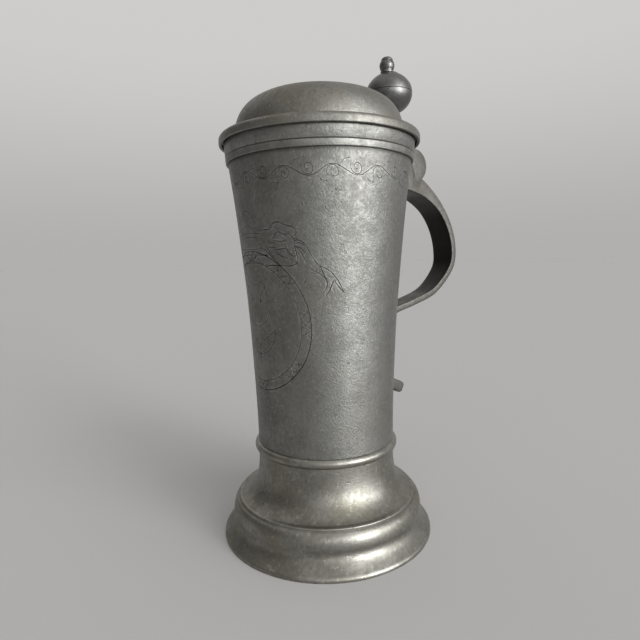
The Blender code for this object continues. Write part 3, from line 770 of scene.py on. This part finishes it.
def footOutline():
    form = footForm
    footRadius = footHigh.y
    wall, lip = form["wall"], form["lip"]
    neck = drumForm["footRadius"]
    neckZ = seamZ - form["neckDrop"]
    torusR, torusZ = footRadius - form["torusInset"], form["torusZ"]
    arrisR, arrisZ = torusR - form["arrisInset"], form["arrisZ"]
    # outside, from the neck down to the table
    drop = (neckZ - arrisZ) * form["coveNeck"]
    run = (arrisR - neck) * form["coveRun"]
    rise = (neckZ - arrisZ) * form["coveRise"]
    cove = pulledLine((neck, neckZ), (neck, neckZ - drop), (arrisR - run, arrisZ + rise), (arrisR, arrisZ),
                      form["coveSteps"])[:-2]
    bead = arcLine((arrisR - form["bead"] / 2, arrisZ), (form["bead"],) * 2, *form["beadArc"])
    swell = (form["arrisInset"], arrisZ - torusZ - form["quirk"])
    torus = arcLine((arrisR, torusZ), swell, *form["torusArc"])
    rimTop = (footRadius - form["lipSlope"][0], lip)
    dip = (torus[-1][0] - form["tuck"], torus[-1][1] - form["tuckDrop"])
    flare = pulledLine(torus[-1], dip, (rimTop[0] - form["rimRun"], rimTop[1] + form["rimRise"]), rimTop,
                       form["flareSteps"])
    rest = footRadius - form["restWidth"]
    rimSide = (footRadius, lip - form["lipSlope"][1])
    edge = softCorner(flare[-2], rimSide, (footRadius, 0.0), form["edgeRound"])
    edge += softCorner((footRadius, lip), (footRadius, 0.0), (rest, 0.0), form["restRound"])
    # hollow inside, back up to the ledge under the floor disc
    underTorus = (torusR - wall, torusZ)
    underArris = (arrisR - wall, arrisZ - wall)
    inside = pulledLine((rest - wall / 2, lip), (underTorus[0], lip + form["rimRise"]),
                        underTorus, underArris, form["insideSteps"])
    innerNeck = neck - wall
    ledgeZ = neckZ - wall
    hollow = pulledLine(underArris, (underArris[0] - run, underArris[1] + rise), (innerNeck, ledgeZ - drop),
                        (innerNeck, ledgeZ), form["hollowSteps"])
    ledgeR = floorHigh.y - form["bearing"]
    ledge = softLine([(innerNeck, ledgeZ), (ledgeR, neckZ), (ledgeR, footHigh.z), (neck, footHigh.z)],
                     form["ledgeRound"])
    neckSide = [(neck, footHigh.z - down) for down in form["neckRows"]]
    return (cove + bead + torus + flare[1:-1] + edge + [(rest, 0.0)] + inside + hollow[1:] + ledge[1:]
            + neckSide)


foot = turnPiece("steinFoot", footOutline(), 0.0, footForm["turns"])
handFinish(foot, footForm)
finishPiece(foot, "foot", "stein", finish["footPewter"])


# Half-round band over the seam
bandForm = {"bury": 0.1, "arc": (90.0, -90.0, 14), "turns": 192, "wander": 0.05, "wanderSpacing": 12.0}
bandInner = drumForm["footRadius"] - bandForm["bury"]
bandZ = (bandLow.z + bandHigh.z) / 2
bandRadii = (bandHigh.y - bandInner, (bandHigh.z - bandLow.z) / 2)
bandOutline = arcLine((bandInner, bandZ), bandRadii, *bandForm["arc"])
band = turnPiece("seamBand", bandOutline, 0.0, bandForm["turns"])
handFinish(band, bandForm)
finishPiece(band, "waist_band", "stein", finish["footPewter"])


# Floor disc between drum and foot, with turned rings on both faces
floorForm = {"edgeRound": 0.5, "ringDepth": 0.25, "ringHalf": 0.5, "ringRadii": (8.0, 16.0, 23.0),
             "turns": 128}


def floorOutline():
    form = floorForm
    radius, topZ, underZ = floorHigh.y, floorHigh.z, floorLow.z
    half, depth = form["ringHalf"], form["ringDepth"]
    top, under = [(0.0, topZ)], []
    for r in form["ringRadii"]:
        top += [(r - half, topZ), (r, topZ - depth), (r + half, topZ)]
        under += [(r - half, underZ), (r, underZ + depth), (r + half, underZ)]
    edge = softLine([top[-1], (radius, topZ), (radius, underZ), under[-1]], form["edgeRound"])
    return top[:-1] + edge + under[-2::-1] + [(0.0, underZ)]


floorDisc = turnPiece("drumFloor", floorOutline(), 0.0, floorForm["turns"])
finishPiece(floorDisc, "floor_disc", "stein", finish["innerPewter"])


# Lid: rounded flange with a hanging lip, high dome, centring ring below
lidForm = {"flangeTop": 2.5, "lipDrop": 1.4, "lipWidth": 1.3, "lipRound": 0.45, "edgeRound": 1.8,
           "edgeSteps": 10, "domeInset": 4.7, "domeRound": 0.6, "shoulder": 0.42, "wall": 2.0,
           "bezelClearance": 1.3, "bezelRound": 0.4, "domeSteps": 60, "insideSteps": 30, "turns": 192,
           "wander": 0.14, "wanderSpacing": 24.0}
seatZ = rimZ + solderGap
flangeZ = seatZ + lidForm["flangeTop"]
domeRadius = rimRadius - lidForm["domeInset"]


def domeLine(radius, base, height, steps):
    line = [(0.0, base + height)]
    for step in range(1, steps + 1):
        angle = math.pi / 2 * (1.0 - step / steps)
        line.append((radius * math.cos(angle) ** lidForm["shoulder"], base + height * math.sin(angle)))
    return line


def lidOutline():
    form = lidForm
    wall, flange = form["wall"], lidHigh.y
    domeTall = lidHigh.z - flangeZ
    dome = domeLine(domeRadius, flangeZ, domeTall, form["domeSteps"])
    foot = softCorner(dome[-2], dome[-1], (flange, flangeZ), form["domeRound"])
    reach = form["edgeRound"]
    edge = arcLine((flange - reach, flangeZ - reach), (reach, reach), 90, 0, form["edgeSteps"])
    lipR, lipZ = flange - form["lipWidth"], seatZ - form["lipDrop"]
    lip = softLine([edge[-1], (flange, lipZ), (lipR, lipZ), (lipR, seatZ)], form["lipRound"])
    bezel = rimRadius - drumForm["wall"] - form["bezelClearance"]
    innerR = min(domeRadius, bezel) - wall
    ring = softLine([lip[-1], (bezel, seatZ), (bezel, lidLow.z), (bezel - wall, lidLow.z), (innerR, flangeZ)],
                    form["bezelRound"])
    inside = domeLine(innerR, flangeZ, domeTall - wall, form["insideSteps"])
    return dome[:-1] + foot + edge + lip[1:] + ring[1:] + inside[-2::-1]


lid = turnPiece("steinLid", lidOutline(), 0.0, lidForm["turns"])
handFinish(lid, lidForm)
finishPiece(lid, "lid", "lid_group", finish["lidPewter"])
print("turned pieces done")


# Thumbpiece: a ball of two halves, the upper one stepped in above a line, under an acorn finial
ballForm = {"wall": 2.4, "seamClose": 0.12, "seamRound": 0.2, "stepHeight": 4.4, "stepIn": 0.16,
            "lineHalf": 0.7, "lineDepth": 0.08, "bossRadius": 5.1, "bossTall": 0.35, "bossSoft": 0.7,
            "steps": 110, "insideSteps": 24, "turns": 96}


def easeIn(value):
    share = min(max(value, 0.0), 1.0)
    return share * share * (3.0 - 2.0 * share)


def ballOutline(middleZ, poleZ):
    form = ballForm
    radius = ballHigh.y
    tall = abs(poleZ - middleZ)
    side = 1.0 if poleZ > middleZ else -1.0
    outside = []
    for r, up in arcLine((0.0, 0.0), (radius, tall), 90, 0, form["steps"]):
        if side > 0.0:
            off = up - form["stepHeight"]
            line = form["lineDepth"] * (1.0 - easeIn(abs(off) / form["lineHalf"]))
            boss = form["bossTall"] * easeIn((form["bossRadius"] - r) / form["bossSoft"])
            r, up = r - line - form["stepIn"] * easeIn(off / form["lineHalf"]), up + boss
        outside.append((max(r, 0.0), up))
    outside[0] = (0.0, outside[0][1])
    innerR, innerTall = radius - form["wall"], tall - form["wall"]
    inside = arcLine((0.0, 0.0), (innerR, innerTall), 0, 90, form["insideSteps"])
    inside[-1] = (0.0, innerTall)
    reach, close = form["seamRound"], form["seamClose"]
    seam = [(radius - reach / 3, -close / 2), (radius - reach, -close), (innerR, -close)]
    return [(r, middleZ + side * up) for r, up in outside + seam + inside]


ballParts = (("ballLower", "thumb_ball_lower", ballOutline(ballHigh.z, ballLow.z)),
             ("ballUpper", "thumb_ball_upper", ballOutline(capLow.z, capHigh.z)))
for name, node, outline in ballParts:
    half = turnPiece(name, outline, postR, ballForm["turns"])
    finishPiece(half, node, "lid_group", finish["darkPewter"])

# the finial's outline from its tip down: shares of its radius and of its height
finialForm = {"sink": 0.5, "steps": 5, "turns": 72}
finialLine = [(0.0, 1.0), (0.3, 0.99), (0.53, 0.95), (0.70, 0.87), (0.78, 0.77), (0.75, 0.73), (0.83, 0.69),
              (0.93, 0.58), (1.0, 0.42), (0.93, 0.22), (0.82, 0.06), (0.86, 0.0)]


def finialOutline():
    tall = finialHigh.z - finialLow.z
    shares = throughPoints(finialLine, finialForm["steps"])
    line = [(share * finialHigh.y, finialLow.z + up * tall) for share, up in shares]
    base = finialLow.z - finialForm["sink"]
    return [(0.0, finialHigh.z)] + line[1:] + [(line[-1][0], base), (0.0, base)]


finial = turnPiece("ballFinial", finialOutline(), finialR, finialForm["turns"])
finishPiece(finial, "thumb_finial", "lid_group", finish["darkPewter"])


# Hinge pin with peened ends
pinForm = {"sides": 48, "rimRound": 0.06, "rimSegments": 3, "sharp": 60.0, "peenInset": 0.45, "peen": -0.03}


def crossRod(name, radius, width, sides, rimRound=0.0):
    # a rod along Y through the hinge's centre; its rims can be rounded
    deselectAll()
    place = Vector((axisX + pinR, 0.0, pinZ)) * mm
    bpy.ops.mesh.primitive_cylinder_add(vertices=sides, radius=radius * mm, depth=width * mm, location=place,
                                        rotation=(math.radians(90), 0, 0))
    rod = nameNew(name)
    bpy.ops.object.transform_apply(location=True, rotation=True, scale=True)
    if rimRound:
        sharp = math.radians(pinForm["sharp"])
        bevelEdges(rod, lambda edge: edge.calc_face_angle(0.0) > sharp, rimRound, pinForm["rimSegments"])
        bpy.ops.object.mode_set(mode="OBJECT")
    return rod


def peenEnds(rod, inset, depth):
    # the two round end faces, inset and lifted or sunk
    shape = bmesh.new()
    shape.from_mesh(rod.data)
    for face in shape.faces:
        face.select = abs(face.normal.y) > 0.9 and len(face.verts) > 8
    shape.to_mesh(rod.data)
    shape.free()
    bpy.ops.object.mode_set(mode="EDIT")
    bpy.ops.mesh.select_mode(type="FACE")
    bpy.ops.mesh.inset(thickness=inset * mm, depth=depth * mm, use_individual=True)
    bpy.ops.mesh.select_mode(type="VERT")
    bpy.ops.object.mode_set(mode="OBJECT")


pin = crossRod("hingePin", pinRadius, hingeWidth, pinForm["sides"], pinForm["rimRound"])
peenEnds(pin, pinRadius * pinForm["peenInset"], pinForm["peen"])
finishPiece(pin, "hinge_pin", "stein", finish["pinIron"])


# Lid lug: tongue on the flange, knuckle round the pin, waisted post under the ball
lugForm = {"tongueInset": 0.5, "tongueReach": 2.7, "tongueTall": 3.3, "cornerRound": 2.0, "topRound": 0.7,
           "cornerSegments": 8, "topSegments": 4, "knuckleRadius": 6.9, "knuckleArc": (70.0, -180.0, 48),
           "knuckleWidth": 4.6, "neckGap": 0.7, "neckSink": 0.3, "sideRound": 0.35, "sideSegments": 2,
           "holePlay": 0.15, "postFoot": 4.0, "postWaist": 2.5, "postTop": 3.7, "waistShare": 0.55,
           "postCollar": 1.4, "postSink": 0.5, "postRound": 0.4, "postSteps": 14, "postTurns": 64}


def makeTongue():
    form = lugForm
    inner = domeRadius + form["tongueInset"]
    outer = lidHigh.y + form["tongueReach"]
    size = Vector((outer - inner, lugHigh.y - lugLow.y, form["tongueTall"])) * mm
    place = Vector((axisX + (inner + outer) / 2, 0.0, flangeZ + form["tongueTall"] / 2)) * mm
    deselectAll()
    bpy.ops.mesh.primitive_cube_add(size=1, location=place, scale=size)
    tongue = nameNew("lidLug")
    bpy.ops.object.transform_apply(location=True, rotation=True, scale=True)

    def isUpright(edge):
        return abs(edge.verts[0].co.z - edge.verts[1].co.z) > mm

    def isTopRim(edge):
        isTop = min(vert.co.z for vert in edge.verts) > place.z
        return isTop and edge.calc_face_angle(0.0) > math.radians(pinForm["sharp"])

    bevelEdges(tongue, isUpright, form["cornerRound"], form["cornerSegments"])
    bevelEdges(tongue, isTopRim, form["topRound"], form["topSegments"])
    bpy.ops.object.mode_set(mode="OBJECT")
    return tongue


def makeKnuckle():
    form = lugForm
    width = form["knuckleWidth"]
    knuckle = arcLine((pinR, pinZ), (form["knuckleRadius"],) * 2, *form["knuckleArc"])
    top = flangeZ + form["tongueTall"] - form["neckSink"]
    bottom = flangeZ + 2 * form["neckSink"]
    neck = lidHigh.y + form["neckGap"]
    outline = [(postR, top), (lidHigh.y + form["tongueReach"] + form["neckGap"], top)] + knuckle
    outline += [(neck, bottom), (postR, bottom)]
    places = [(axisX + r, -width / 2, z) for r, z in outline]
    plate = startPoint("knuckle", places[0])
    drawLine(places + places[:1])
    mergeAll()
    bpy.ops.mesh.edge_face_add()
    bpy.ops.mesh.extrude_region_move(TRANSFORM_OT_translate={"value": (0, width * mm, 0)})

    def isOnSide(edge):
        return abs(edge.verts[0].co.y - edge.verts[1].co.y) < width * mm / 2

    bevelEdges(plate, isOnSide, form["sideRound"], form["sideSegments"])
    closeSeams()
    return plate


def postOutline():
    form = lugForm
    footR, waistR, topR = form["postFoot"], form["postWaist"], form["postTop"]
    foot = flangeZ + form["tongueTall"] - form["neckSink"]
    top = ballLow.z + form["postSink"]
    waist = foot + (top - foot) * form["waistShare"]
    neck = top - form["postCollar"] - form["postSink"]
    middle = (waist + foot) / 2
    collar = softLine([(0.0, top), (topR, top), (topR, neck)], form["postRound"])[1:]
    flare = pulledLine((topR, neck), (waistR, neck - form["postCollar"]),
                       (waistR, waist + form["postCollar"]), (waistR, waist), form["postSteps"])
    spread = pulledLine((waistR, waist), (waistR, middle), (footR, middle), (footR, foot), form["postSteps"])
    return [(0.0, top)] + collar[:-1] + flare + spread[1:] + [(0.0, foot)]


lug = makeTongue()
combine(lug, makeKnuckle(), "UNION")
combine(lug, turnPiece("post", postOutline(), postR, lugForm["postTurns"]), "UNION")
lugHole = crossRod("lugHole", pinRadius + lugForm["holePlay"], 2 * hingeWidth, pinForm["sides"])
combine(lug, lugHole, "DIFFERENCE")
finishPiece(lug, "lid_lug", "lid_group", finish["handlePewter"])
print("thumbpiece and lug done")


# Handle: a strap that swells into two round hinge cheeks, lands on the drum and ends in a stub tail
handleForm = {"thick": 3.7, "wide": 13.4, "thinning": 0.3, "headThick": 10.5, "headTaper": 0.9,
              "headDrop": 5.8, "bury": 1.6, "gripDrop": 41.0, "gripInset": 0.12, "lowerDrop": 74.3,
              "lowerWide": 10.4, "tailWide": 8.4, "tailThick": 3.0, "tailRise": 25.0, "landWide": 9.4,
              "landRows": (0.4, 0.75), "stubReach": 12.0, "lobeRadius": 7.8, "lobeSides": 96, "slotPlay": 0.3,
              "lobeRound": 0.4, "pinPlay": 0.005, "edgeRound": 0.6, "edgeShare": 0.32, "crown": 0.3,
              "crownRows": (0.25, 0.0, -0.25), "sink": 0.2, "roomSteps": 40, "steps": 8, "cornerSteps": 4,
              "innerShade": (0.3, 1.3)}
# shares across and down each stretch of the strap, with its thickness where that changes
upperBow = ((0.30, 0.295, 6.8), (0.645, 0.48, 4.6), (0.89, 0.724, 4.0), (1.0, 1.0, 3.7))
lowerBow = ((0.041, 0.294), (0.292, 0.622), (0.622, 0.779), (0.898, 0.877), (1.0, 1.0))
# the stub: share of its reach, drop and thickness
stubBow = ((0.22, 0.6, 3.4), (0.48, 3.3, 4.5), (0.76, 5.5, 5.4), (1.0, 7.0, 5.8), (1.1, 7.6, 5.4),
           (1.15, 7.9, 4.2))


def strapStations():
    # radius, height, thickness and width along the strap's middle line
    form = handleForm
    gripZ = pinZ - form["gripDrop"]
    gripR = handleHigh.x - axisX - form["thick"] / 2 - form["gripInset"]
    lowerZ = pinZ - form["lowerDrop"]
    stubZ = seamZ + form["tailRise"]
    bury, headThick = form["bury"], form["headThick"]
    line = [(collarRadius - bury, pinZ - form["headDrop"], headThick, hingeWidth),
            (pinR - bury, pinZ - form["lobeRadius"], form["headTaper"] * headThick, hingeWidth)]
    for across, down, thick in upperBow:
        line.append((pinR + across * (gripR - pinR), pinZ - down * form["gripDrop"], thick, form["wide"]))
    landing = drumRadius(lowerZ) + form["slotPlay"] + form["tailThick"]
    for across, down in lowerBow:
        r = gripR + across * (landing - gripR)
        thick = form["thick"] - form["thinning"] * down
        wide = form["wide"] + (form["lowerWide"] - form["wide"]) * down
        line.append((r, gripZ + down * (lowerZ - gripZ), thick, wide))
    for share in form["landRows"]:
        z = lowerZ + share * (stubZ - lowerZ)
        r = drumRadius(z) + form["slotPlay"] + form["tailThick"] / 2
        line.append((r, z, form["tailThick"], form["landWide"]))
    for across, down, thick in stubBow:
        r = drumRadius(stubZ) + form["slotPlay"] + across * form["stubReach"]
        line.append((r, stubZ - down, thick, form["tailWide"]))
    return line


def strapSection(thick, wide):
    # rounded bar, slightly crowned on its outer face: (across, outwards) points
    form = handleForm
    reach = min(form["edgeRound"], thick * form["edgeShare"])
    section = []
    for side, face, start in ((1, 1, 0), (-1, 1, 90), (-1, -1, 180), (1, -1, 270)):
        centre = (side * (wide / 2 - reach), face * (thick / 2 - reach))
        section += arcLine(centre, (reach, reach), start, start + 90, form["cornerSteps"])
        if start in (0, 180):
            section += [(side * share * wide, face * thick / 2) for share in form["crownRows"]]
    return [(across, out - form["crown"] * (2 * across / wide) ** 2 * (out > 0)) for across, out in section]


def makeStrap():
    line = throughPoints(strapStations(), handleForm["steps"])
    columns = len(line) - 1
    rows = len(strapSection(handleForm["thick"], handleForm["wide"]))
    deselectAll()
    bpy.ops.mesh.primitive_grid_add(x_subdivisions=columns, y_subdivisions=rows, size=1)
    strap = nameNew("strapHandle")
    for vert in strap.data.vertices:
        column = round((vert.co.x + 0.5) * columns)
        row = round((vert.co.y + 0.5) * rows) % rows
        here = line[column]
        way = line[min(column + 1, columns)] - line[max(column - 1, 0)]
        way = Vector((way[0], way[1])).normalized()
        across, out = strapSection(here[2], here[3])[row]
        vert.co = Vector((axisX + here[0] - way.y * out, across, here[1] + way.x * out)) * mm
    bpy.ops.object.mode_set(mode="EDIT")
    mergeAll()
    bpy.ops.mesh.fill_holes(sides=0)
    closeSeams()
    return strap


def drumRoom():
    # the drum's own space, a little smaller, cut from the handle so that it beds on the wall
    sink, steps = handleForm["sink"], handleForm["roomSteps"]
    heights = [seamZ + (collarZ - seamZ) * step / steps for step in range(steps + 1)]
    side = [(drumRadius(z) - sink, z) for z in heights]
    top = rimZ + handleForm["lobeRadius"]
    outline = [(0.0, seamZ)] + side + [(collarRadius - sink, collarZ), (rimRadius - sink, rimZ)]
    return outline + [(rimRadius - sink, top), (0.0, top)]


handle = makeStrap()
lobeRadius, lobeSides, slotPlay = (handleForm[key] for key in ("lobeRadius", "lobeSides", "slotPlay"))
slotWidth = lugForm["knuckleWidth"] + 2 * slotPlay
combine(handle, crossRod("cheeks", lobeRadius, hingeWidth, lobeSides, handleForm["lobeRound"]), "UNION")
combine(handle, crossRod("slot", lobeRadius + slotPlay, slotWidth, lobeSides), "DIFFERENCE")
pinHole = crossRod("pinHole", pinRadius + handleForm["pinPlay"], 2 * hingeWidth, pinForm["sides"])
combine(handle, pinHole, "DIFFERENCE")
combine(handle, turnPiece("drumRoom", drumRoom(), 0.0, drumForm["turns"]), "DIFFERENCE")
finishPiece(handle, "handle", "stein", finish["handlePewter"])
innerFrom, innerGain = handleForm["innerShade"]
for vert, mark in zip(handle.data.vertices, handle.data.attributes["dirtAndShade"].data):
    # painted shade: the strap's inner face, turned to the drum, is darkened as if in shade
    inward = -vert.normal.x
    if inward > innerFrom and vert.co.z < (pinZ - lobeRadius) * mm:
        mark.value = max(mark.value, min(inward * innerGain, 1.0))
print("handle done")


# Pale floor, soft studio light and the photograph's viewing angle
stageForm = {"floorSize": 40.0, "floorColour": (0.505, 0.502, 0.499), "airColour": (1.0, 0.98, 0.955),
             "pale": 0.62, "horizon": 0.71, "wallEdges": (0.0, 0.4), "top": 0.45, "topEdges": (0.3, 0.75),
             "dimTurn": -85.0, "dimLevel": 0.3, "dimEdges": (0.5, 0.85), "sunReach": 2.0}
# soft suns like one wide low window: turn to the right of the camera, height, breadth in degrees, strength
windowSuns = {"frontFill": (14.0, 3.0, 36.0, 0.6), "windowMiddle": (46.0, 1.0, 24.0, 4.2),
              "windowSide": (72.0, 4.0, 30.0, 0.9), "windowTop": (50.0, 30.0, 34.0, 0.8),
              "overWindow": (45.0, 62.0, 40.0, 0.2)}
cameraForm = {"turn": 35.0, "reach": 226.3, "height": 123.3, "pitch": 6.79, "roll": 1.29,
              "focalPixels": 500.0, "picture": 640.0, "axisOffset": 3.3, "sensor": 36.0, "clipStart": 0.01}


def makeFloor():
    deselectAll()
    bpy.ops.mesh.primitive_plane_add(size=stageForm["floorSize"])
    ground = nameNew("paleFloor")
    material = bpy.data.materials.new("paleFloor")
    material.use_nodes = True
    shader = material.node_tree.nodes["Principled BSDF"]
    shader.inputs["Base Color"].default_value = (*stageForm["floorColour"], 1.0)
    shader.inputs["Specular IOR Level"].default_value = 0.0
    ground.data.materials.append(material)


def besideCamera(turn, height):
    # a direction from the object, turned to the right of the camera and raised
    side = math.radians(cameraForm["turn"] - turn)
    rise = math.radians(height)
    return Vector((-math.sin(side) * math.cos(rise), -math.cos(side) * math.cos(rise), math.sin(rise)))


def makeWorld():
    # an evenly pale room, lighter upwards, with one dim side to the left of the camera
    form = stageForm
    world = bpy.data.worlds.new("studio")
    bpy.context.scene.world = world
    world.use_nodes = True
    tree = world.node_tree
    background = tree.nodes["Background"].inputs
    spot = addNode(tree, "ShaderNodeTexCoord").outputs["Generated"]
    rise = addNode(tree, "ShaderNodeSeparateXYZ", None, {0: spot}).outputs["Z"]
    feeds = {0: spot, 1: besideCamera(form["dimTurn"], 0.0)}
    aside = addNode(tree, "ShaderNodeVectorMath", {"operation": "DOT_PRODUCT"}, feeds).outputs["Value"]
    dim = between(tree, aside, *form["dimEdges"])
    dim = sums(tree, "MULTIPLY", dim, form["dimLevel"] - 1.0)
    dim = sums(tree, "ADD", dim, 1.0)
    wall = between(tree, rise, *form["wallEdges"])
    wall = sums(tree, "MULTIPLY", wall, form["pale"] * (1.0 - form["horizon"]))
    wall = sums(tree, "ADD", wall, form["pale"] * form["horizon"])
    wall = sums(tree, "MULTIPLY", wall, dim)
    above = between(tree, rise, *form["topEdges"])
    above = sums(tree, "MULTIPLY", above, form["top"])
    feed(tree, background["Color"], (*form["airColour"], 1.0))
    feed(tree, background["Strength"], sums(tree, "MAXIMUM", wall, above))


def makeLamps():
    centre = Vector((axisX, 0.0, seamZ)) * mm
    for name, (turn, height, breadth, strength) in windowSuns.items():
        lamp = bpy.data.lights.new(name, "SUN")
        lamp.energy = strength
        lamp.angle = math.radians(breadth)
        holder = bpy.data.objects.new(name, lamp)
        bpy.context.collection.objects.link(holder)
        away = besideCamera(turn, height)
        holder.location = centre + away * stageForm["sunReach"]
        holder.rotation_euler = (-away).to_track_quat("-Z", "Y").to_euler()


def makeCamera():
    form = cameraForm
    turn, pitch, roll = (math.radians(form[key]) for key in ("turn", "pitch", "roll"))
    forward = Vector((math.sin(turn) * math.cos(pitch), math.cos(turn) * math.cos(pitch), -math.sin(pitch)))
    right = Vector((math.cos(turn), -math.sin(turn), 0.0))
    up = right.cross(forward)
    right, up = right * math.cos(roll) - up * math.sin(roll), up * math.cos(roll) + right * math.sin(roll)
    data = bpy.data.cameras.new("photoCamera")
    data.sensor_width = form["sensor"]
    data.lens = form["focalPixels"] / form["picture"] * form["sensor"]
    data.shift_x = -form["axisOffset"] / form["picture"]
    data.clip_start = form["clipStart"]
    camera = bpy.data.objects.new("photoCamera", data)
    bpy.context.collection.objects.link(camera)
    reach = form["reach"]
    place = Vector((axisX - reach * math.sin(turn), -reach * math.cos(turn), form["height"])) * mm
    camera.matrix_world = Matrix.Translation(place) @ Matrix((right, up, -forward)).transposed().to_4x4()
    bpy.context.scene.camera = camera


makeFloor()
makeWorld()
makeLamps()
makeCamera()
bpy.context.scene.view_settings.view_transform = "Standard"
print("stage set")
